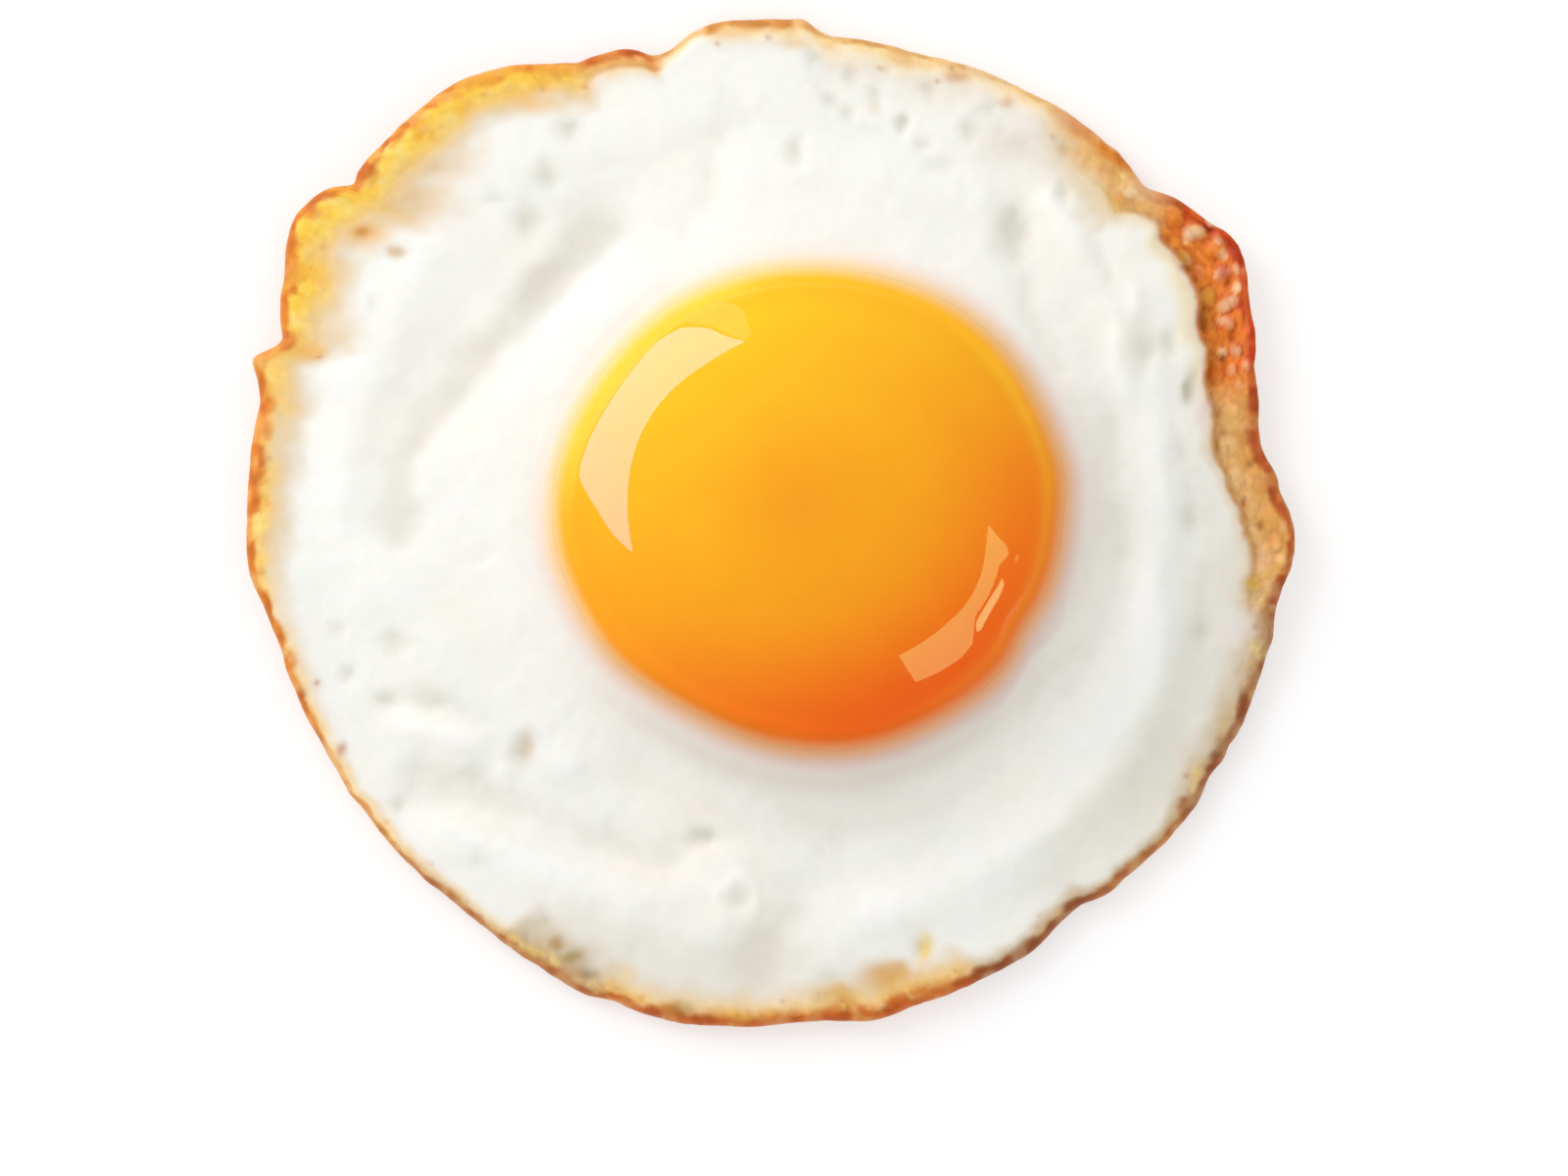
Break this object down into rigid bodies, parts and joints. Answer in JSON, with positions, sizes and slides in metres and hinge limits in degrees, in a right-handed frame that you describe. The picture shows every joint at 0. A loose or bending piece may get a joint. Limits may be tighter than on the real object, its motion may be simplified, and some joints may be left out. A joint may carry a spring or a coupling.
{
  "type": "fried egg",
  "caption": "Sunny-side-up fried egg: a domed soft yolk seated in a flat, uneven white with a browned, bubbly rim.",
  "frame": {"origin": "middle of the egg's bounding box, on the flat underside that it lies on", "axes": "+Z up out of the plate or pan; +X along the longest extent; +Y across it; seen from above with +Y up, the yolk is slightly right of the middle"},
  "size_m": [0.093, 0.0896, 0.0171],
  "materials": {
    "cooked_white": "soft satin, moist, opaque white, browned gold to red-brown at the rim",
    "cooked_yolk": "wet gloss, golden orange, paler at its edge"
  },
  "bodies": {
    "root": {"egg_white": "cooked_white", "yolk": "cooked_yolk"}
  },
  "joints": []
}
